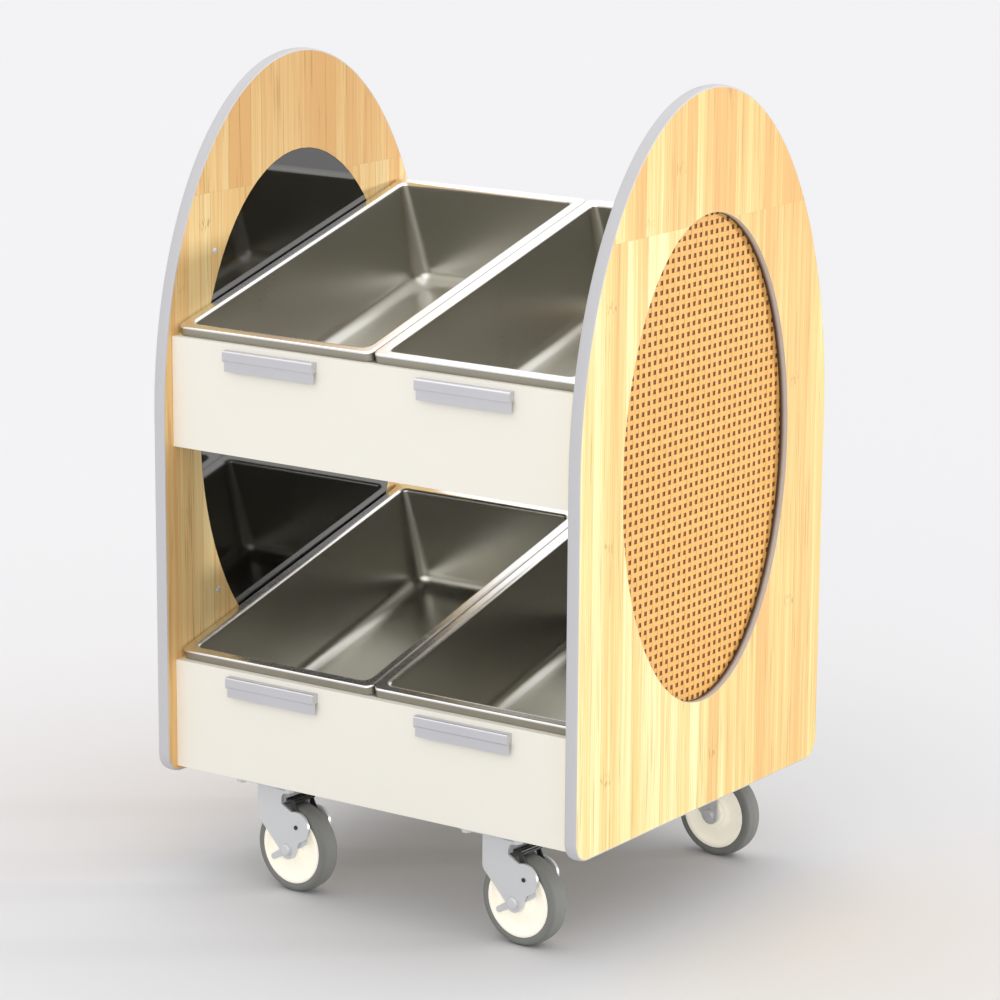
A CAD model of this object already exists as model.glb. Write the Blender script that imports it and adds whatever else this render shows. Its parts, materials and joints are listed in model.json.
"""Finishes a merchandising cart: bamboo sides with cane ovals, steel pans, boards and casters."""
import json
import logging
import math
from collections.abc import Callable, Iterator
from contextlib import contextmanager
from dataclasses import dataclass, field
from enum import Enum

import bmesh
import bpy
from mathutils import Matrix, Vector


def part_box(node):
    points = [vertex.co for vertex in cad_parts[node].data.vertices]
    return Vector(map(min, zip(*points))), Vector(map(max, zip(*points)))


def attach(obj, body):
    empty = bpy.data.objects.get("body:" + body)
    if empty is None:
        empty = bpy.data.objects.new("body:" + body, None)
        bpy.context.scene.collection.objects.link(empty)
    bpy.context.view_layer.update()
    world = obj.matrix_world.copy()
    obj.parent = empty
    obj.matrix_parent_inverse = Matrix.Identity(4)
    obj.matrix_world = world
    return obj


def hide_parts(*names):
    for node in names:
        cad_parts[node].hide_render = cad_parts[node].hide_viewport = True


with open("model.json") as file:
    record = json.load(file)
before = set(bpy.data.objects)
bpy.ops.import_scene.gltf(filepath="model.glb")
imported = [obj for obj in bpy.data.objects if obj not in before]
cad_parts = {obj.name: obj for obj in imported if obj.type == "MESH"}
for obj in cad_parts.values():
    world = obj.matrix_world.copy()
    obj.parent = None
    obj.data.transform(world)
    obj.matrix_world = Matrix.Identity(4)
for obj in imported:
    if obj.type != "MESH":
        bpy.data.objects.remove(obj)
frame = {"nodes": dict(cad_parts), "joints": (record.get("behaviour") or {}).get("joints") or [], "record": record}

log = logging.getLogger("cart")

MM = 0.001
NODES: dict[str, bpy.types.Object] = frame["nodes"]
BODY_OF: dict[str, str] = {
    node: body for body, nodes in frame["record"]["behaviour"]["bodies"].items() for node in nodes
}
Triple = tuple[float, float, float]
Colour = Triple
Edge = tuple[float, float]

BUMP = 0.4
MERGE_AT = 0.02 * MM
WELD_AT = 0.01 * MM
FLAT_ANGLE = 0.6
SHARP_ANGLE = 45.0
FACE_WEIGHT = 60
PITCH_Y = 13.3 * MM
PITCH_Z = 12.75 * MM
CASTERS = ("front_left", "front_right", "back_left", "back_right")


class Side(Enum):
    """The two sides of the cart, as someone facing the front sees them."""

    LEFT = -1
    RIGHT = 1

    @property
    def word(self) -> str:
        """The side's word in the names of the nodes."""
        return self.name.lower()


class Tier(Enum):
    """The two tiers of pans."""

    LOWER = 0
    UPPER = 1

    @property
    def word(self) -> str:
        """The tier's word in the names of the nodes."""
        return self.name.lower()


class Axis(Enum):
    """An axis along which a grain or a brushed finish runs."""

    X = 0
    Y = 1
    Z = 2


class Value:
    """A socket's output in a shader, with arithmetic that adds Math nodes."""

    def __init__(self, graph: "Graph", socket: bpy.types.NodeSocket) -> None:
        """Keeps the graph and the socket."""
        self.graph = graph
        self.socket = socket

    def _math(self, operation: str, first: "Number", second: "Number" = 0.0) -> "Value":
        """Adds one Math node.

        Args:
            operation: the Math node's operation.
            first: its first input.
            second: its second input.

        Returns:
            The node's result.
        """
        return self.graph.node("ShaderNodeMath", {"operation": operation}, {0: first, 1: second})

    def __add__(self, other: "Number") -> "Value":
        """Sum."""
        return self._math("ADD", self, other)

    def __radd__(self, other: "Number") -> "Value":
        """Sum with a number on the left."""
        return self._math("ADD", other, self)

    def __sub__(self, other: "Number") -> "Value":
        """Difference."""
        return self._math("SUBTRACT", self, other)

    def __rsub__(self, other: "Number") -> "Value":
        """Difference from a number on the left."""
        return self._math("SUBTRACT", other, self)

    def __mul__(self, other: "Number") -> "Value":
        """Product."""
        return self._math("MULTIPLY", self, other)

    def __rmul__(self, other: "Number") -> "Value":
        """Product with a number on the left."""
        return self._math("MULTIPLY", other, self)

    def __truediv__(self, other: "Number") -> "Value":
        """Quotient."""
        return self._math("DIVIDE", self, other)

    def __pow__(self, other: "Number") -> "Value":
        """Power."""
        return self._math("POWER", self, other)

    def floor(self) -> "Value":
        """Whole part."""
        return self._math("FLOOR", self)

    def fract(self) -> "Value":
        """Part after the point."""
        return self._math("FRACT", self)

    def absolute(self) -> "Value":
        """Size without the sign."""
        return self._math("ABSOLUTE", self)

    def above(self, edge: float, soft: float) -> "Value":
        """A smooth step from 0 below an edge to 1 above it.

        Args:
            edge: the middle of the step.
            soft: half the width of the step.

        Returns:
            The step, from 0 to 1.
        """
        return self.graph.node(
            "ShaderNodeMapRange",
            {"interpolation_type": "SMOOTHSTEP", "clamp": True},
            {0: self, 1: edge - soft, 2: edge + soft, 3: 0.0, 4: 1.0},
        )


Number = Value | float | int


class Graph:
    """One material's node tree, with a Principled shader at its end."""

    def __init__(self, name: str) -> None:
        """Makes the material and empties its tree.

        Args:
            name: the material's name.
        """
        self.material = bpy.data.materials.new(name)
        self.material.use_nodes = True
        self.tree = self.material.node_tree
        self.tree.nodes.clear()

    def node(
        self,
        kind: str,
        settings: dict[str, object] | None = None,
        inputs: dict[int | str, object] | None = None,
        output: int | str = 0,
    ) -> Value:
        """Adds a node.

        Args:
            kind: the node's type.
            settings: properties that are set first; stops sets a ramp's positions and colours.
            inputs: a value or a link for each named or numbered socket.
            output: the socket that is returned.

        Returns:
            The chosen output.
        """
        made = self.tree.nodes.new(kind)
        for name, value in (settings or {}).items():
            if name == "stops":
                self._set_stops(made.color_ramp, value)
            else:
                setattr(made, name, value)
        for name, value in (inputs or {}).items():
            if isinstance(value, Value):
                self.tree.links.new(value.socket, made.inputs[name])
            elif isinstance(value, tuple) and len(value) == 3 and made.inputs[name].type == "RGBA":
                made.inputs[name].default_value = (*value, 1.0)
            else:
                made.inputs[name].default_value = value
        return Value(self, made.outputs[output])

    @staticmethod
    def _set_stops(ramp: bpy.types.ColorRamp, stops: list[tuple[float, Colour]]) -> None:
        """Gives a ramp its stops.

        Args:
            ramp: the ramp.
            stops: positions and colours, lowest first.
        """
        while len(ramp.elements) < len(stops):
            ramp.elements.new(1.0)
        for element, (place, colour) in zip(ramp.elements, stops):
            element.position = place
            element.color = (*colour, 1.0)

    def place(self) -> tuple[Value, Value, Value]:
        """Object coordinates in metres.

        Returns:
            The three coordinates.
        """
        vector = self.node("ShaderNodeTexCoord", output="Object")
        return tuple(
            self.node("ShaderNodeSeparateXYZ", inputs={0: vector}, output=i) for i in range(3)
        )

    def vector(self, x: Number, y: Number, z: Number) -> Value:
        """A vector from three numbers."""
        return self.node("ShaderNodeCombineXYZ", inputs={0: x, 1: y, 2: z})

    def noise(self, at: Value, scale: float, detail: float = 2.0, rough: float = 0.5) -> Value:
        """Smooth noise about 0.5.

        Args:
            at: where it is read.
            scale: its scale.
            detail: octaves.
            rough: how much the finer octaves count.

        Returns:
            The noise, from 0 to 1.
        """
        inputs = {"Vector": at, "Scale": scale, "Detail": detail, "Roughness": rough}
        return self.node("ShaderNodeTexNoise", inputs=inputs)

    def chance(self, at: Value) -> Value:
        """A random number that is always the same at the same place.

        Args:
            at: the place.

        Returns:
            The number, from 0 to 1.
        """
        return self.node("ShaderNodeTexWhiteNoise", {"noise_dimensions": "3D"}, {"Vector": at})

    def blend(self, share: Number, low: Value | Colour, high: Value | Colour) -> Value:
        """A mix of two colours.

        Args:
            share: 0 for the first colour and 1 for the second.
            low: the first colour.
            high: the second colour.

        Returns:
            The mixed colour.
        """
        settings = {"data_type": "RGBA", "clamp_factor": True}
        return self.node("ShaderNodeMix", settings, {0: share, 6: low, 7: high}, output=2)

    def ramp(self, at: Value, stops: list[tuple[float, Colour]]) -> Value:
        """A colour ramp.

        Args:
            at: where it is read.
            stops: positions and colours, lowest first.

        Returns:
            The colour.
        """
        return self.node("ShaderNodeValToRGB", {"stops": stops}, {0: at})

    def bump(self, height: Value, depth: float, strength: float = BUMP) -> Value:
        """A normal from a height.

        Args:
            height: the height, from 0 to 1.
            depth: how many metres a height of 1 stands for.
            strength: the share of the effect.

        Returns:
            The normal.
        """
        inputs = {"Height": height, "Distance": depth, "Strength": strength}
        return self.node("ShaderNodeBump", inputs=inputs)

    def finish(self, **sockets: object) -> bpy.types.Material:
        """Ends the material with a Principled shader.

        Args:
            sockets: values or links, with underscores for spaces in the sockets' names.

        Returns:
            The material.
        """
        inputs = {name.replace("_", " "): value for name, value in sockets.items()}
        shader = self.node("ShaderNodeBsdfPrincipled", inputs=inputs)
        out = self.tree.nodes.new("ShaderNodeOutputMaterial")
        self.tree.links.new(shader.socket, out.inputs["Surface"])
        return self.material


def spread(colour: Colour, share: float) -> tuple[Colour, Colour]:
    """A colour made darker and paler.

    Args:
        colour: the colour.
        share: how far it goes either way.

    Returns:
        The darker colour and the paler one.
    """
    darker = tuple(c * (1.0 - share) for c in colour)
    paler = tuple(min(1.0, c * (1.0 + share)) for c in colour)
    return darker, paler


@dataclass(frozen=True)
class Grain:
    """A layer of grain: noise that is drawn out along the material.

    Attributes:
        fine: scale across the grain.
        coarse: scale along it.
    """

    fine: float
    coarse: float
    detail: float
    rough: float
    share: float

    def read(
        self, g: Graph, across: Value, up: Value, seed: Number, shift: Number = 0.0
    ) -> Value:
        """The layer's noise.

        Args:
            g: the material's graph.
            across: the place across the grain, in metres.
            up: the place along it, in metres.
            seed: picks one of many patterns.
            shift: moves the pattern along the grain.

        Returns:
            The noise, from 0 to 1.
        """
        at = g.vector(across * self.fine, up * self.coarse + shift, seed)
        return g.noise(at, 1.0, self.detail, self.rough)


@dataclass(frozen=True)
class Bamboo:
    """Clear-coated bamboo board of narrow strips, whose ends meet at one height.

    An edge is the middle of a smooth step and half its width. Flecks, dashes and seams are
    marks in the seams' colour, and a mark's share is its strength.

    Attributes:
        lots: lots of strips to the metre, from one side of the cart to the other.
        first_strip: where the strips start, in strips.
        joint_shift: how far they are shifted above the joint, in strips.
        lean: how much paler the wood gets in a metre towards the back.
        crown: strength of a mark that covers the top.
        open_edge: picks the strips with a strong seam, by luck.
        knotty_edge: picks the strips with flecks at their knuckles, by luck.
    """

    slot: str = "bamboo"
    name: str = "bamboo_outer"
    along: Axis = Axis.Z
    strip: float = 24 * MM
    first_strip: float = 0.37
    joint_at: float = 951 * MM
    joint_shift: float = 0.29
    joint_shade: float = 0.17
    lots: float = 9.0
    pale: Colour = (0.95, 0.90, 0.50)
    middle: Colour = (0.90, 0.69, 0.29)
    deep: Colour = (0.84, 0.50, 0.19)
    seam: Colour = (0.48, 0.24, 0.09)
    stops: Triple = (0.05, 0.48, 0.92)
    tone_share: float = 0.62
    broad: Grain = Grain(70.0, 1.1, 2.0, 0.55, 0.95)
    streak: Grain = Grain(330.0, 3.2, 3.0, 0.6, 1.15)
    fibre: Grain = Grain(1600.0, 16.0, 2.0, 0.6, 0.16)
    level: float = 0.95
    lean: float = -0.9
    top_edge: Edge = (0.0, 0.16)
    top_shade: float = 0.2
    crown_edge: Edge = (0.0, 0.2)
    crown: float = 0.0
    seam_edge: Edge = (0.484, 0.016)
    seam_share: float = 0.14
    open_edge: Edge = (0.66, 0.05)
    open_share: float = 0.48
    butt_edge: Edge = (0.45 * MM, 0.35 * MM)
    butt_share: float = 0.12
    knuckle: float = 0.31
    knuckle_edge: Edge = (0.022, 0.018)
    knotty_edge: Edge = (0.80, 0.02)
    fleck: Grain = Grain(420.0, 95.0, 2.0, 0.5, 0.6)
    fleck_edge: Edge = (0.56, 0.07)
    dash: Grain = Grain(300.0, 7.0, 1.0, 0.5, 0.36)
    dash_edge: Edge = (0.66, 0.06)
    roughness: float = 0.44
    play: float = 0.08
    heights: Triple = (0.6, 0.4, 0.5)
    depth: float = 0.1 * MM
    specular: float = 0.2

    def material(self) -> bpy.types.Material:
        """Builds the material.

        Returns:
            The bamboo material.
        """
        g = Graph(self.name)
        x, y, z = g.place()
        across, up, side = (y, z, x) if self.along is Axis.Z else (x, y, z)
        lot = (side * self.lots).floor()
        over = up - self.joint_at
        piece = (up / self.joint_at).floor()
        strip = across / self.strip + self.first_strip + piece * self.joint_shift
        index = strip.floor()
        # Bare numbers in this method only pick or move a random pattern.
        tone = g.chance(g.vector(index, piece, lot))
        luck = g.chance(g.vector(index, piece, lot + 11.0))
        broad = self.broad.read(g, across, up, lot + piece * 3.0, tone * 9.0)
        streak = self.streak.read(g, across, up, lot, tone * 9.0)
        fibre = self.fibre.read(g, across, up, lot)
        fleck = self.fleck.read(g, across, up, tone * 30.0).above(*self.fleck_edge)
        dash = self.dash.read(g, across, up, tone * 40.0 + 7.0).above(*self.dash_edge)
        knot = ((up + luck * 0.9 + tone * 0.4) / self.knuckle).fract() - 0.5
        near = 1.0 - knot.absolute().above(*self.knuckle_edge)
        seam = (strip.fract() - 0.5).absolute().above(*self.seam_edge)
        butt = 1.0 - over.absolute().above(*self.butt_edge)
        share = tone * self.tone_share + broad * self.broad.share
        share = share + streak * self.streak.share + fibre * self.fibre.share - self.level
        share = share + across * self.lean - piece * self.joint_shade
        share = share - over.above(*self.top_edge) * self.top_shade
        colour = g.ramp(share, list(zip(self.stops, (self.deep, self.middle, self.pale))))
        for mark in (
            over.above(*self.crown_edge) * self.crown,
            seam * (self.seam_share + luck.above(*self.open_edge) * self.open_share),
            butt * self.butt_share,
            near * fleck * luck.above(*self.knotty_edge) * self.fleck.share,
            dash * self.dash.share,
        ):
            colour = g.blend(mark, colour, self.seam)
        fibre_high, streak_high, seam_deep = self.heights
        height = fibre * fibre_high + streak * streak_high - seam * seam_deep
        return g.finish(
            Base_Color=colour,
            Roughness=self.roughness - fibre * self.play,
            Normal=g.bump(height, self.depth),
            Specular_IOR_Level=self.specular,
        )


@dataclass(frozen=True)
class Plain:
    """Moulded or laminated finish with a faint mottle and a fine grain in its gloss."""

    slot: str
    colour: Colour
    roughness: float
    mottle: float = 0.03
    cloud: float = 14.0
    cloud_share: float = 0.8
    grain: float = 900.0
    grain_share: float = 0.2
    depth: float = 0.04 * MM
    play: float = 0.08
    metallic: float = 0.0
    ior: float = 1.5
    glow: float = 0.0

    def material(self) -> bpy.types.Material:
        """Builds the material.

        Returns:
            The plain material.
        """
        g = Graph(self.slot)
        place = g.vector(*g.place())
        cloud = g.noise(place, self.cloud, 3.0)
        grain = g.noise(place, self.grain)
        share = cloud * self.cloud_share + grain * self.grain_share
        return g.finish(
            Base_Color=g.blend(share, *spread(self.colour, self.mottle)),
            Roughness=self.roughness + (grain - 0.5) * self.play,
            Metallic=self.metallic,
            IOR=self.ior,
            Emission_Color=(*self.colour, 1.0),
            Emission_Strength=self.glow,
            Normal=g.bump(grain, self.depth),
        )


@dataclass(frozen=True)
class Brushed:
    """Metal with a brushed or satin finish that runs along one axis."""

    slot: str
    colour: Colour
    roughness: float
    along: Axis = Axis.X
    contrast: float = 0.10
    lines: float = 2600.0
    stretch: float = 60.0
    line_share: float = 0.7
    cloud: float = 9.0
    cloud_share: float = 0.9
    relief: float = 0.25
    play: float = 0.5
    depth: float = 0.02 * MM
    name: str = ""

    def material(self) -> bpy.types.Material:
        """Builds the material.

        Returns:
            The metal material.
        """
        g = Graph(self.name or self.slot)
        place = list(g.place())
        scale = [self.lines] * 3
        scale[self.along.value] = self.lines / self.stretch
        streak = g.noise(g.vector(*(p * s for p, s in zip(place, scale))), 1.0, 2.0, 0.6)
        cloud = g.noise(g.vector(*place), self.cloud, 3.0, 0.55)
        wear = (streak - 0.5) * self.line_share + (cloud - 0.5) * self.cloud_share
        return g.finish(
            Base_Color=g.blend(wear + 0.5, *spread(self.colour, self.contrast)),
            Metallic=1.0,
            Roughness=self.roughness + wear * self.relief * self.play,
            Normal=g.bump(streak, self.depth, self.relief),
        )


@dataclass(frozen=True)
class Lining:
    """Grey banding inside an oval, whose inner end is in the shade beside the cane."""

    slot: str = "edge_band"
    grey: Colour = (0.60, 0.60, 0.62)
    shade: Colour = (0.075, 0.040, 0.022)
    shade_at: float = 335.5 * MM
    grey_at: float = 342.5 * MM
    wander: float = 0.4 * MM
    grain: float = 700.0
    roughness: float = 0.5
    play: float = 0.1
    depth: float = 0.03 * MM

    def material(self) -> bpy.types.Material:
        """Builds the material.

        Returns:
            The lining's material.
        """
        g = Graph("oval_lining")
        x, y, z = g.place()
        grain = g.noise(g.vector(x, y, z), self.grain) - 0.5
        middle, soft = (self.shade_at + self.grey_at) / 2, (self.grey_at - self.shade_at) / 2
        share = (x.absolute() + grain * self.wander).above(middle, soft)
        return g.finish(
            Base_Color=g.blend(share, self.shade, self.grey),
            Roughness=self.roughness + grain * self.play,
            Normal=g.bump(grain + 0.5, self.depth),
        )


@dataclass(frozen=True)
class Cane:
    """Split cane with fine fibres along the strand, and a tone of its own for each strand."""

    along: Axis
    pitch: float
    slot: str = "cane"
    pale: Colour = (0.92, 0.535, 0.165)
    deep: Colour = (0.84, 0.42, 0.103)
    tone_share: float = 0.35
    fibre: Grain = Grain(2600.0, 30.0, 2.0, 0.6, 0.35)
    cloud: Grain = Grain(20.0, 14.0, 3.0, 0.6, 0.45)
    level: float = 0.1
    roughness: float = 0.5
    play: float = 0.1
    depth: float = 0.08 * MM
    specular: float = 0.35

    def material(self) -> bpy.types.Material:
        """Builds the material.

        Returns:
            The cane material.
        """
        g = Graph(f"cane_{self.along.name.lower()}")
        _, y, z = g.place()
        across, up = (y, z) if self.along is Axis.Z else (z, y)
        index = (across / self.pitch + 0.5).floor()
        tone = g.chance(g.vector(index, 5.0, self.along.value))
        fibre = self.fibre.read(g, across, up, tone)
        cloud = self.cloud.read(g, across, up, tone * 8.0)
        share = tone * self.tone_share + fibre * self.fibre.share
        share = share + cloud * self.cloud.share - self.level
        return g.finish(
            Base_Color=g.blend(share, self.deep, self.pale),
            Roughness=self.roughness - fibre * self.play,
            Specular_IOR_Level=self.specular,
            Normal=g.bump(fibre, self.depth),
        )


Finish = Bamboo | Plain | Brushed | Lining | Cane


@dataclass(frozen=True)
class Palette:
    """Every finish on the cart."""

    right_bamboo: Bamboo = Bamboo()
    left_bamboo: Bamboo = Bamboo(
        pale=(0.97, 0.80, 0.43), middle=(0.93, 0.645, 0.285), deep=(0.84, 0.485, 0.185),
        seam=(0.36, 0.18, 0.03), lean=0.0, crown=0.30, name="bamboo_warm",
    )
    rail_bamboo: Bamboo = Bamboo(along=Axis.Y, lean=0.0, name="bamboo_rail")
    band: Plain = Plain("edge_band", (0.585, 0.58, 0.60), 0.42, mottle=0.015)
    backing: Plain = Plain("backing", (0.22, 0.095, 0.018), 0.75, mottle=0.12, grain=300.0)
    lining: Lining = Lining()
    gloss: Plain = Plain(
        "gloss_black", (0.006, 0.006, 0.0045), 0.035, mottle=0.0, depth=0.0, ior=2.1
    )
    cream: Plain = Plain("cream_laminate", (0.94, 0.908, 0.812), 0.5, mottle=0.012, grain=1600.0)
    zinc: Plain = Plain("zinc_steel", (0.71, 0.72, 0.73), 0.32, mottle=0.04, metallic=0.25)
    nylon: Plain = Plain("cream_nylon", (0.99, 0.94, 0.82), 0.36, mottle=0.015, glow=0.22)
    rubber: Plain = Plain(
        "grey_rubber", (0.215, 0.218, 0.205), 0.72, mottle=0.07, depth=0.08 * MM
    )
    pedal: Plain = Plain(
        "black_pedal", (0.018, 0.018, 0.018), 0.42, mottle=0.05, depth=0.08 * MM
    )
    aluminium: Brushed = Brushed("brushed_aluminium", (0.63, 0.63, 0.655), 0.34, contrast=0.05)
    channel: Brushed = Brushed(
        "stainless", (0.5, 0.48, 0.45), 0.4, along=Axis.Y, name="stainless_channel"
    )
    tub: Brushed = Brushed(
        "stainless", (0.52, 0.51, 0.46), 0.28, along=Axis.Y, contrast=0.03, relief=0.05,
        name="stainless_tub",
    )
    rim: Brushed = Brushed(
        "stainless", (0.84, 0.83, 0.80), 0.27, along=Axis.Y, name="stainless_rim"
    )
    lip: Brushed = Brushed("stainless", (0.38, 0.365, 0.32), 0.30, name="stainless_lip")
    cane_up: Cane = Cane(Axis.Z, PITCH_Y)
    cane_across: Cane = Cane(Axis.Y, PITCH_Z)


class Workshop:
    """Keeps one material for each finish, and shapes and dresses pieces."""

    def __init__(self) -> None:
        """Starts with no materials."""
        self.made: dict[Finish, bpy.types.Material] = {}

    def material(self, finish: Finish) -> bpy.types.Material:
        """The one material of a finish.

        Args:
            finish: a finish of the palette.

        Returns:
            Its material.
        """
        if finish not in self.made:
            self.made[finish] = finish.material()
        return self.made[finish]

    def dress(self, piece: bpy.types.Object, *finishes: Finish) -> None:
        """Puts finishes in a piece's material slots.

        Args:
            piece: the piece.
            finishes: one finish for each slot.
        """
        piece.data.materials.clear()
        for finish in finishes:
            piece.data.materials.append(self.material(finish))

    def keep(self, finish: Finish, *nodes: str) -> None:
        """Gives nodes of the frame a finish and leaves their shape as it is.

        Args:
            finish: the finish.
            nodes: the nodes' names.
        """
        for node in nodes:
            self.dress(NODES[node], finish)
            log.info("%s keeps its shape", node)

    @staticmethod
    def only(piece: bpy.types.Object) -> None:
        """Selects one object and makes it the active one.

        Args:
            piece: the object.
        """
        bpy.ops.object.select_all(action="DESELECT")
        piece.select_set(True)
        bpy.context.view_layer.objects.active = piece

    @contextmanager
    def editing(self, piece: bpy.types.Object, action: str = "SELECT") -> Iterator[None]:
        """Puts one object in edit mode for a while.

        Args:
            piece: the object.
            action: SELECT or DESELECT, for all of it at the start.
        """
        self.only(piece)
        bpy.ops.object.mode_set(mode="EDIT")
        bpy.ops.mesh.select_all(action=action)
        yield
        bpy.ops.object.mode_set(mode="OBJECT")

    def modify(self, piece: bpy.types.Object, kind: str, **settings: object) -> None:
        """Adds a modifier and applies it.

        Args:
            piece: the piece.
            kind: the modifier's type.
            settings: the modifier's properties.
        """
        self.only(piece)
        modifier = piece.modifiers.new(kind.lower(), kind)
        for name, value in settings.items():
            setattr(modifier, name, value)
        bpy.ops.object.modifier_apply(modifier=modifier.name)

    def smooth(self, piece: bpy.types.Object, angle: float = 35.0) -> None:
        """Shades a piece smooth, apart from its sharp edges.

        Args:
            piece: the piece.
            angle: the least angle of a sharp edge, in degrees.
        """
        self.only(piece)
        bpy.ops.object.shade_smooth_by_angle(angle=math.radians(angle))
        self.modify(piece, "WEIGHTED_NORMAL", keep_sharp=True, weight=FACE_WEIGHT)

    def stand_in(self, piece: bpy.types.Object, node: str, slot: str) -> bpy.types.Object:
        """Makes a piece ride in the place of a node of the frame.

        Args:
            piece: the piece.
            node: the node that it stands for.
            slot: the record's material slot.

        Returns:
            The piece.
        """
        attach(piece, BODY_OF[node])
        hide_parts(node)
        log.info("%s stands for %s", piece.name, node)
        return piece

    def refine(
        self, node: str, finish: Finish, edge: float, segments: int = 2
    ) -> bpy.types.Object:
        """Copies a node, merges its loose faces and rounds its edges.

        Args:
            node: the node's name.
            finish: its finish.
            edge: the radius of the rounded edges, in metres.
            segments: faces across a rounded edge.

        Returns:
            The new piece, which stands for the node.
        """
        piece = bpy.data.objects.new(f"{node}_finished", NODES[node].data.copy())
        bpy.context.scene.collection.objects.link(piece)
        self.only(piece)
        bpy.ops.mesh.customdata_custom_splitnormals_clear()
        with self.editing(piece):
            bpy.ops.mesh.remove_doubles(threshold=MERGE_AT)
            bpy.ops.mesh.dissolve_limited(angle_limit=math.radians(FLAT_ANGLE))
        self.modify(
            piece, "BEVEL", width=edge, segments=segments, limit_method="ANGLE",
            angle_limit=math.radians(SHARP_ANGLE), miter_outer="MITER_ARC", use_clamp_overlap=True,
        )
        self.smooth(piece)
        self.dress(piece, finish)
        return self.stand_in(piece, node, finish.slot)

    def loft(
        self, name: str, count: int, rings: list[Callable[[int], Vector]], closed_end: bool = True
    ) -> bpy.types.Object:
        """Extrudes a ring of edges through a row of sections.

        Args:
            name: the piece's name.
            count: points in each ring.
            rings: for each section, a function from a point's number to its place.
            closed_end: fills the last ring.

        Returns:
            The piece, in object mode.
        """
        bpy.ops.object.select_all(action="DESELECT")
        bpy.ops.mesh.primitive_circle_add(vertices=count, fill_type="NOTHING")
        piece = bpy.context.object
        piece.name = name
        piece.data.name = name
        number = piece.data.attributes.new("number", "INT", "POINT")
        number.data.foreach_set("value", list(range(count)))
        with self.editing(piece):
            for step, ring in enumerate(rings):
                if step:
                    bpy.ops.mesh.extrude_region()
                shape = bmesh.from_edit_mesh(piece.data)
                layer = shape.verts.layers.int["number"]
                for vert in shape.verts:
                    if vert.select:
                        vert.co = ring(vert[layer])
                bmesh.update_edit_mesh(piece.data)
            if closed_end:
                bpy.ops.mesh.edge_face_add()
        return piece


@dataclass
class Viewpoint:
    """The camera, as found from the outlines of the two side panels."""

    place: Vector = field(default_factory=lambda: Vector((2.9687, -4.2628, 1.7453)))
    yaw: float = 34.733
    pitch: float = 13.151
    roll: float = 0.391
    lens: float = 139.87
    sensor: float = 36.0
    reach: float = 200.0

    def build(self) -> None:
        """Adds the camera and makes it the scene's."""
        yaw, pitch, roll = (math.radians(a) for a in (self.yaw, self.pitch, self.roll))
        flat = math.cos(pitch)
        ahead = Vector((-math.sin(yaw) * flat, math.cos(yaw) * flat, -math.sin(pitch)))
        level = Vector((math.cos(yaw), math.sin(yaw), 0.0))
        upright = level.cross(ahead)
        right = math.cos(roll) * level + math.sin(roll) * upright
        up = -math.sin(roll) * level + math.cos(roll) * upright
        data = bpy.data.cameras.new("view")
        data.lens = self.lens
        data.sensor_width = self.sensor
        data.clip_end = self.reach
        camera = bpy.data.objects.new("view", data)
        turn = Matrix((right, up, -ahead)).transposed().to_4x4()
        camera.matrix_world = Matrix.Translation(self.place) @ turn
        bpy.context.scene.collection.objects.link(camera)
        bpy.context.scene.camera = camera


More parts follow.
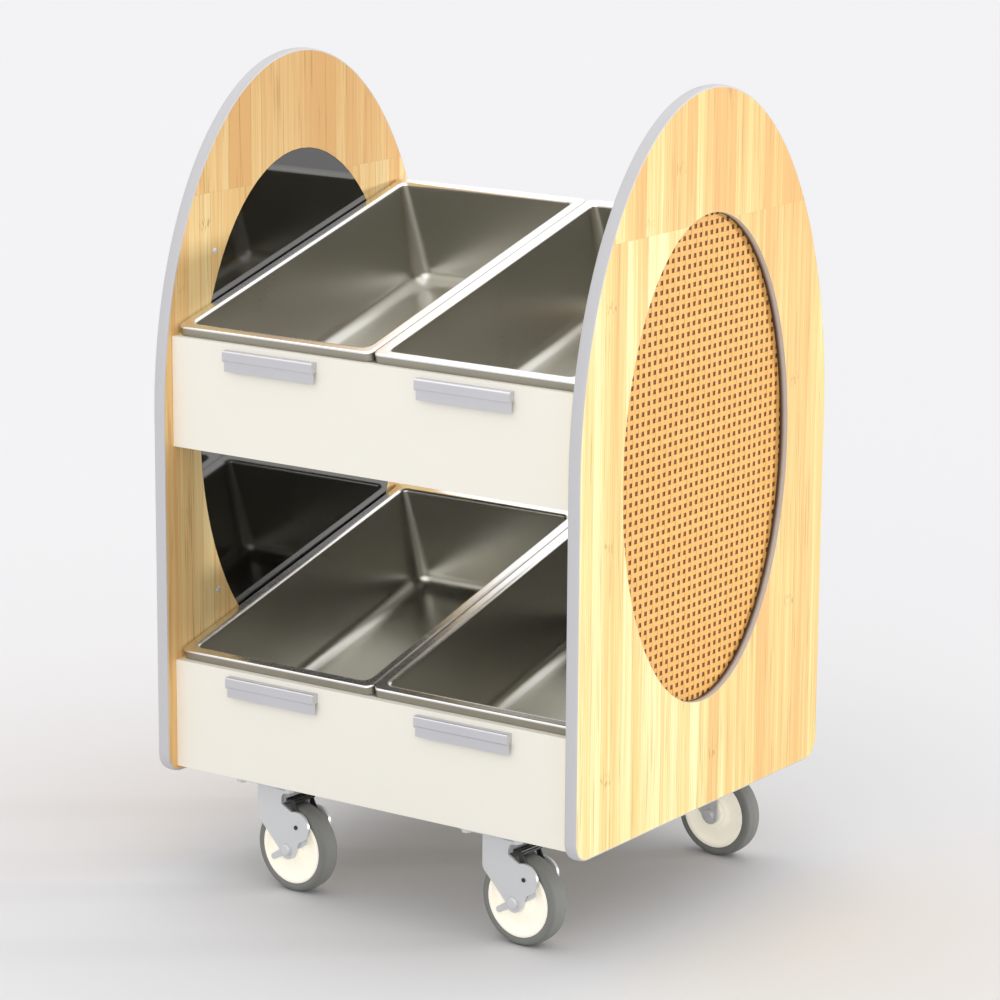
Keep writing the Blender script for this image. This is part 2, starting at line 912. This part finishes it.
@dataclass
class Studio:
    """A pale floor under a plain dome, an overhead light, a front light and a low sharp key.

    Attributes:
        shade: share of the floor's colour that is left in full shade.
        lamps: name, strength, width in degrees and direction of each lamp.
    """

    pale: Colour = (0.913, 0.905, 0.930)
    floor_colour: Colour = (0.86, 0.855, 0.87)
    floor_size: float = 120.0
    near_edge: Edge = (0.36, 0.24)
    near_dark: float = 0.36
    around_edge: Edge = (0.85, 0.65)
    around_dark: float = 0.18
    shade: float = 0.5
    cloud: float = 0.7
    cloud_share: float = 0.01
    dome: float = 0.45
    lamps: tuple[tuple[str, float, float, Triple], ...] = (
        ("key", 1.4, 3.0, (0.78, 0.62, 0.06)),
        ("overhead", 1.67, 120.0, (0.05, -0.05, 1.0)),
        ("front", 0.7, 50.0, (0.25, -0.95, 0.12)),
    )

    def build(self) -> None:
        """Adds the world, the lamps and the floor, and sets the view transform."""
        bpy.context.scene.view_settings.view_transform = "Standard"
        self._world()
        for name, power, width, source in self.lamps:
            self._lamp(name, power, width, Vector(source))
        self._floor()

    def _world(self) -> None:
        """Lights the cart with a plain dome, which the camera and gloss see as the backdrop."""
        world = bpy.data.worlds.new("dome")
        bpy.context.scene.world = world
        world.use_nodes = True
        tree = world.node_tree
        tree.nodes.clear()
        rays = tree.nodes.new("ShaderNodeLightPath")
        seen = rays.outputs["Is Camera Ray"]
        for ray in ("Is Glossy Ray", "Is Transmission Ray"):
            either = tree.nodes.new("ShaderNodeMath")
            either.operation = "MAXIMUM"
            tree.links.new(seen, either.inputs[0])
            tree.links.new(rays.outputs[ray], either.inputs[1])
            seen = either.outputs[0]
        light, backdrop = (tree.nodes.new("ShaderNodeBackground") for _ in range(2))
        light.inputs["Color"].default_value = (1.0, 1.0, 1.0, 1.0)
        light.inputs["Strength"].default_value = self.dome
        backdrop.inputs["Color"].default_value = (*self.pale, 1.0)
        mix = tree.nodes.new("ShaderNodeMixShader")
        for place, output in enumerate((seen, light.outputs[0], backdrop.outputs[0])):
            tree.links.new(output, mix.inputs[place])
        out = tree.nodes.new("ShaderNodeOutputWorld")
        tree.links.new(mix.outputs[0], out.inputs["Surface"])

    @staticmethod
    def _lamp(name: str, power: float, width: float, source: Vector) -> None:
        """Adds one lamp.

        Args:
            name: the lamp's name.
            power: its strength.
            width: how broad it looks, in degrees.
            source: the direction from which it shines.
        """
        data = bpy.data.lights.new(name, "SUN")
        data.energy = power
        data.angle = math.radians(width)
        lamp = bpy.data.objects.new(name, data)
        lamp.rotation_mode = "QUATERNION"
        lamp.rotation_quaternion = source.to_track_quat("Z", "Y")
        bpy.context.scene.collection.objects.link(lamp)

    def _floor(self) -> None:
        """Lays the floor, whose colour is a little deeper round the cart."""
        bpy.ops.object.select_all(action="DESELECT")
        bpy.ops.mesh.primitive_plane_add(size=self.floor_size)
        floor = bpy.context.object
        floor.name = "floor"
        g = Graph("floor")
        x, y, z = g.place()
        away = (x * x + y * y) ** 0.5
        near = 1.0 - away.above(*self.near_edge)
        around = 1.0 - away.above(*self.around_edge)
        cloud = g.noise(g.vector(x, y, z), self.cloud)
        dark = tuple(c * self.shade for c in self.floor_colour)
        share = near * self.near_dark + around * self.around_dark + cloud * self.cloud_share
        colour = g.blend(share, self.floor_colour, dark)
        matt = g.finish(Base_Color=colour, Roughness=0.9, Specular_IOR_Level=0.0)
        floor.data.materials.append(matt)


@dataclass
class SidePanels:
    """The two bullet-shaped side panels with their banding, ovals and cane.

    Attributes:
        crown: half of the banding's rounding, as shares of its half width and falls in mm.
        facing: a face of the lining points outwards where this much of its normal does.
        wave: how far a strand weaves to either side.
    """

    shop: Workshop
    palette: Palette
    arch_rise: float = 473 * MM
    corner: float = 29 * MM
    arch_steps: int = 120
    corner_steps: int = 14
    band_t: float = 3 * MM
    band_root: float = 0.3 * MM
    clearance: float = 0.05 * MM
    crown: tuple[tuple[float, float], ...] = (
        (1.0, 2.2), (0.97, 1.7), (0.9, 1.2), (0.75, 0.72), (0.5, 0.3), (0.25, 0.08)
    )
    lining_radius: float = 0.15 * MM
    facing: float = 0.97
    strand_y: float = 6.7 * MM
    strand_z: float = 6.4 * MM
    wave: float = 0.32 * MM
    strand_thick: float = 0.5 * MM
    margin: float = 5.0 * MM
    smooth_angle: float = 50.0

    def build(self) -> None:
        """Builds both panels."""
        woods = {Side.LEFT: self.palette.left_bamboo, Side.RIGHT: self.palette.right_bamboo}
        for side in Side:
            word = side.word
            self.shop.keep(woods[side], f"{word}_side_panel")
            self.shop.keep(self.palette.gloss, f"{word}_gloss_panel")
            self.shop.keep(self.palette.backing, f"{word}_backing_board")
            self.shop.keep(self.palette.zinc, f"{word}_panel_screws")
            self._band(side)
            self._lining(side, woods[side])
            self._weave(side)

    def _outline(
        self, number: int, inset: float, low: Vector, high: Vector
    ) -> tuple[float, float]:
        """A point on a side panel's outline.

        Args:
            number: the point's number, from the front bottom corner to the front of the arch.
            inset: how far the outline is drawn in.
            low: the lowest corner of the panel's box.
            high: the highest corner of the panel's box.

        Returns:
            Its depth and height.
        """
        corner_points = self.corner_steps + 1
        if number < 2 * corner_points:
            behind, step = divmod(number, corner_points)
            angle = math.radians(90.0 * (2 + behind + step / self.corner_steps))
            middle = high.y - self.corner if behind else low.y + self.corner
            radius = self.corner - inset
            return middle + radius * math.cos(angle), low.z + self.corner + radius * math.sin(angle)
        angle = math.pi * (number - 2 * corner_points) / self.arch_steps
        half = (high.y - low.y) / 2
        spring = high.z - self.arch_rise
        return (
            (low.y + high.y) / 2 + (half - inset) * math.cos(angle),
            spring + (self.arch_rise - inset) * math.sin(angle),
        )

    def _band(self, side: Side) -> None:
        """Runs a crowned banding round the edge of one panel.

        Args:
            side: the side of the cart.
        """
        node = f"{side.word}_edge_band"
        low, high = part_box(node)
        middle, half = (low.x + high.x) / 2, (high.x - low.x) / 2 - self.clearance
        root = (self.band_t + self.band_root) / MM
        profile = [(-1.0, root), *((-u, fall) for u, fall in self.crown), (0.0, 0.0)]
        profile += [*reversed(self.crown), (1.0, root)]
        rings = [
            (lambda number, u=u, fall=fall: Vector(
                (middle + u * half, *self._outline(number, fall * MM, low, high))
            ))
            for u, fall in profile
        ]
        count = 2 * (self.corner_steps + 1) + self.arch_steps + 1
        band = self.shop.loft(f"{side.word}_crowned_band", count, rings, closed_end=False)
        with self.shop.editing(band, "DESELECT"):
            bpy.ops.mesh.select_mode(type="EDGE")
            bpy.ops.mesh.select_non_manifold()
            bpy.ops.mesh.bridge_edge_loops()
            bpy.ops.mesh.select_all(action="SELECT")
            bpy.ops.mesh.normals_make_consistent(inside=False)
            bpy.ops.mesh.select_mode(type="VERT")
        self.shop.smooth(band, self.smooth_angle)
        self.shop.dress(band, self.palette.band)
        self.shop.stand_in(band, node, self.palette.band.slot)

    def _lining(self, side: Side, wood: Bamboo) -> None:
        """Lines one oval, and runs the panel's wood over the lining's thin outer face.

        Args:
            side: the side of the cart.
            wood: the panel's finish.
        """
        node = f"{side.word}_oval_lining"
        lining = self.shop.refine(node, self.palette.lining, self.lining_radius)
        lining.data.materials.append(self.shop.material(wood))
        for face in lining.data.polygons:
            if abs(face.normal.x) > self.facing:
                face.material_index = 1

    def _strands(self, along: Axis, middle: Vector, half: Vector) -> bpy.types.Object:
        """Lays the strands of one direction of the weave.

        Args:
            along: the axis along which the strands run.
            middle: the middle of the oval.
            half: half of the oval's size.

        Returns:
            The strands as one piece, with no thickness yet.
        """
        upright = along is Axis.Z
        pitch, other = (PITCH_Y, PITCH_Z) if upright else (PITCH_Z, PITCH_Y)
        width = self.strand_y if upright else self.strand_z
        reach, length = (half.y, half.z) if upright else (half.z, half.y)
        count = int(reach / pitch)
        steps = 2 * int(length / other) + 2
        bpy.ops.object.select_all(action="DESELECT")
        bpy.ops.mesh.primitive_grid_add(x_subdivisions=2, y_subdivisions=2 * steps, size=1.0)
        strand = bpy.context.object
        for vert in strand.data.vertices:
            vert.co = Vector((0.0, vert.co.x * width, vert.co.y * steps * other))
        shape = bmesh.new()
        for i in range(-count, count + 1):
            part = strand.data.copy()
            for vert in part.vertices:
                run, place = vert.co.z, vert.co.y + i * pitch
                lift = self.wave * math.cos(math.pi * (run / other + i))
                vert.co = (lift, place, run) if upright else (-lift, run, place)
            shape.from_mesh(part)
            bpy.data.meshes.remove(part)
        shape.to_mesh(strand.data)
        shape.free()
        strand.data.transform(Matrix.Translation(middle))
        with self.shop.editing(strand, "DESELECT"):
            cut = bmesh.from_edit_mesh(strand.data)
            reach_y, reach_z = half.y - self.margin, half.z - self.margin
            for face in cut.faces:
                off = face.calc_center_median() - middle
                face.select_set((off.y / reach_y) ** 2 + (off.z / reach_z) ** 2 > 1.0)
            bmesh.update_edit_mesh(strand.data)
            bpy.ops.mesh.delete(type="FACE")
            bpy.ops.mesh.select_all(action="SELECT")
            bpy.ops.mesh.normals_make_consistent(inside=False)
        self.shop.dress(strand, self.palette.cane_up if upright else self.palette.cane_across)
        return strand

    def _weave(self, side: Side) -> None:
        """Weaves the cane of one side in the place of the plain net.

        Args:
            side: the side of the cart.
        """
        node = f"{side.word}_cane_panel"
        low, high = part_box(node)
        middle, half = (low + high) / 2, (high - low) / 2
        pieces = [self._strands(along, middle, half) for along in (Axis.Z, Axis.Y)]
        bpy.ops.object.select_all(action="DESELECT")
        for piece in pieces:
            piece.select_set(True)
        bpy.context.view_layer.objects.active = pieces[0]
        bpy.ops.object.join()
        weave = pieces[0]
        weave.name = f"{side.word}_cane_weave"
        weave.data.name = weave.name
        self.shop.modify(weave, "SOLIDIFY", thickness=self.strand_thick, offset=0.0)
        self.shop.only(weave)
        bpy.ops.object.shade_smooth_by_angle(angle=math.radians(self.smooth_angle))
        self.shop.stand_in(weave, node, self.palette.cane_up.slot)


@dataclass
class Tiers:
    """Boards, rails, dividers and label holders between the side panels."""

    shop: Workshop
    palette: Palette
    board_edge: float = 0.7 * MM
    holder_edge: float = 0.35 * MM
    rail_edge: float = 1.0 * MM

    def build(self) -> None:
        """Builds both tiers and the deck."""
        for tier in Tier:
            word = tier.word
            for place in ("front", "back"):
                self.shop.refine(f"{word}_{place}_board", self.palette.cream, self.board_edge)
            for side in Side:
                spot = f"{word}_{side.word}"
                self.shop.refine(f"{spot}_rail", self.palette.rail_bamboo, self.rail_edge)
                self.shop.refine(f"{spot}_label_holder", self.palette.aluminium, self.holder_edge)
            self.shop.keep(self.palette.channel, f"{word}_divider")
        self.shop.refine("bottom_deck", self.palette.cream, self.board_edge)
        self.shop.keep(self.palette.zinc, "angle_brackets")


@dataclass
class Pans:
    """The four food pans, lofted as pressed sheet with soft bends.

    Attributes:
        hold: distance from a bend to the loop that keeps it crisp.
        rim_hold: the same on the rim, beside its outer bend.
        wall_shares: where the walls have a loop, as shares of the way down.
        tub_from: share of the mouth's bend at which the tub's finish starts.
    """

    shop: Workshop
    palette: Palette
    width: float = 325 * MM
    length: float = 530 * MM
    depth: float = 150 * MM
    flat: float = 11.5 * MM
    lip: float = 13 * MM
    sheet: float = 1.2 * MM
    taper: float = 11 * MM
    outer_corner: float = 12 * MM
    mouth_corner: float = 10 * MM
    foot_corner: float = 24 * MM
    floor_corner: float = 3 * MM
    floor_in: float = 2 * MM
    foot: float = 22 * MM
    bend: float = 2.5 * MM
    mouth_bend: float = 5.0 * MM
    mouth_turn: float = 86.0
    hold: float = 0.5 * MM
    rim_hold: float = 0.8 * MM
    wall_shares: tuple[float, ...] = (0.06, 0.5, 0.94, 1.0)
    corner_steps: int = 12
    bend_steps: int = 4
    mouth_steps: int = 5
    foot_steps: int = 8
    tub_from: float = 0.7
    bend_corner: float = 0.8
    smooth_angle: float = 40.0

    def build(self) -> None:
        """Builds the four pans."""
        axes = {joint["child"]: joint["axis"] for joint in frame["joints"]}
        for tier in Tier:
            for side in Side:
                node = f"{tier.word}_{side.word}_pan"
                axis = axes[BODY_OF[node]]
                self._pan(node, math.atan2(-axis[1], axis[2]))

    def _point(
        self, width: float, length: float, corner: float, depth: float, number: int
    ) -> Vector:
        """A point on a rectangle with round corners.

        Args:
            width: across.
            length: up the slope.
            corner: the corners' radius.
            depth: height over the rim's plane.
            number: the point's number round the ring.

        Returns:
            The point.
        """
        quarter, step = divmod(number, self.corner_steps + 1)
        angle = math.radians(90.0 * (quarter + step / self.corner_steps))
        sign_x = 1 if quarter in (0, 3) else -1
        sign_y = 1 if quarter in (0, 1) else -1
        across = sign_x * (width / 2 - corner) + corner * math.cos(angle)
        up = sign_y * (length / 2 - corner) + corner * math.sin(angle)
        return Vector((across, up, depth))

    def _sections(self) -> list[tuple[float, float, float]]:
        """The pan's profile, from the lip's bottom over the rim to the floor.

        Returns:
            For each section, how far it is drawn in, its corner radius and its height.
        """
        outer = self.outer_corner
        rows = [(0.0, outer, -self.lip), (0.0, outer, -self.bend - self.hold)]
        for step in range(self.bend_steps + 1):
            turn = math.radians(90.0 * step / self.bend_steps)
            inset = self.bend * (1 - math.cos(turn))
            rows.append((inset, outer - inset * self.bend_corner, self.bend * (math.sin(turn) - 1)))
        rows.append((self.bend + self.rim_hold, outer, 0.0))
        rows.append((self.flat - self.hold, self.mouth_corner + self.mouth_bend, 0.0))
        for step in range(self.mouth_steps + 1):
            turn = math.radians(self.mouth_turn * step / self.mouth_steps)
            inset = self.flat + self.mouth_bend * math.sin(turn)
            corner = self.mouth_corner + self.mouth_bend * (1 - math.sin(turn))
            rows.append((inset, corner, self.mouth_bend * (math.cos(turn) - 1)))
        top_in, _, top = rows[-1]
        bottom = -self.depth + self.sheet
        foot_top = bottom + self.foot
        wall_in = self.flat + self.mouth_bend + self.taper
        for share in self.wall_shares:
            inset = top_in + (wall_in - top_in) * share
            corner = self.mouth_corner + (self.foot_corner - self.mouth_corner) * share
            rows.append((inset, corner, top + (foot_top - top) * share))
        for step in range(1, self.foot_steps + 1):
            turn = math.radians(90.0 * step / self.foot_steps)
            drawn = self.foot * (1 - math.cos(turn))
            corner = max(self.foot_corner - drawn, self.floor_corner)
            rows.append((wall_in + drawn, corner, foot_top - self.foot * math.sin(turn)))
        rows.append((rows[-1][0] + self.floor_in, self.floor_corner, bottom))
        return rows

    def _pan(self, node: str, tilt: float) -> None:
        """Builds one pan in the place of its node.

        Args:
            node: the pan's node.
            tilt: how far it is tilted towards the front, in radians.
        """
        low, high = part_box(node)
        rise, ahead = (self.length - self.bend) * math.sin(tilt), self.bend * math.sin(tilt)
        front = Vector(((low.x + high.x) / 2, low.y - ahead, high.z - rise))
        rings = [
            (lambda number, s=section: self._point(
                self.width - 2 * s[0], self.length - 2 * s[0], s[1], s[2], number
            ))
            for section in self._sections()
        ]
        pan = self.shop.loft(f"{node}_pressed", 4 * (self.corner_steps + 1), rings)
        with self.shop.editing(pan):
            bpy.ops.mesh.remove_doubles(threshold=WELD_AT)
            bpy.ops.mesh.normals_make_consistent(inside=False)
        self._face_up(pan)
        self.shop.dress(pan, self.palette.rim, self.palette.tub, self.palette.lip)
        for face in pan.data.polygons:
            if self._within(face.center):
                below = face.center.z < -self.mouth_bend * self.tub_from
                face.material_index = 1 if below else 0
            else:
                face.material_index = 2 if face.center.z < -self.bend else 0
        self.shop.modify(
            pan, "SOLIDIFY", thickness=self.sheet, offset=-1.0, use_even_offset=True
        )
        self.shop.smooth(pan, self.smooth_angle)
        place = Matrix.Translation(front) @ Matrix.Rotation(tilt, 4, "X")
        pan.data.transform(place @ Matrix.Translation(Vector((0.0, self.length / 2, 0.0))))
        self.shop.stand_in(pan, node, self.palette.tub.slot)

    def _within(self, point: Vector) -> bool:
        """Whether a point lies inside the mouth's outline.

        Args:
            point: the point, in the pan's own frame.

        Returns:
            True if it does.
        """
        half_w, half_l = self.width / 2 - self.flat, self.length / 2 - self.flat
        return abs(point.x) < half_w and abs(point.y) < half_l

    def _face_up(self, pan: bpy.types.Object) -> None:
        """Turns the sheet over if its floor faces down.

        Args:
            pan: the sheet.
        """
        floor = min(pan.data.polygons, key=lambda face: face.center.z + abs(face.center.x))
        if floor.normal.z < 0:
            with self.shop.editing(pan):
                bpy.ops.mesh.flip_normals()


@dataclass
class Casters:
    """The four swivel casters and the bolts that hold them."""

    shop: Workshop
    palette: Palette
    fork_edge: float = 1.1 * MM
    fork_segments: int = 3
    pedal_edge: float = 0.5 * MM

    def build(self) -> None:
        """Builds the casters."""
        self.shop.keep(self.palette.zinc, "caster_bolts")
        for caster in CASTERS:
            self.shop.keep(self.palette.zinc, f"{caster}_caster_plate", f"{caster}_axle")
            self.shop.refine(
                f"{caster}_fork", self.palette.zinc, self.fork_edge, self.fork_segments
            )
            self.shop.keep(self.palette.nylon, f"{caster}_hub")
            self.shop.keep(self.palette.rubber, f"{caster}_tyre")
            if caster.startswith("front"):
                self.shop.refine(f"{caster}_brake_pedal", self.palette.pedal, self.pedal_edge)
                self.shop.keep(self.palette.zinc, f"{caster}_brake_link")


def main() -> None:
    """Builds the studio and every sub-assembly."""
    logging.basicConfig(level=logging.INFO, format="%(name)s: %(message)s")
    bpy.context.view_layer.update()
    palette = Palette()
    shop = Workshop()
    Viewpoint().build()
    Studio().build()
    SidePanels(shop, palette).build()
    Tiers(shop, palette).build()
    Pans(shop, palette).build()
    Casters(shop, palette).build()


if __name__ == "__main__":
    main()
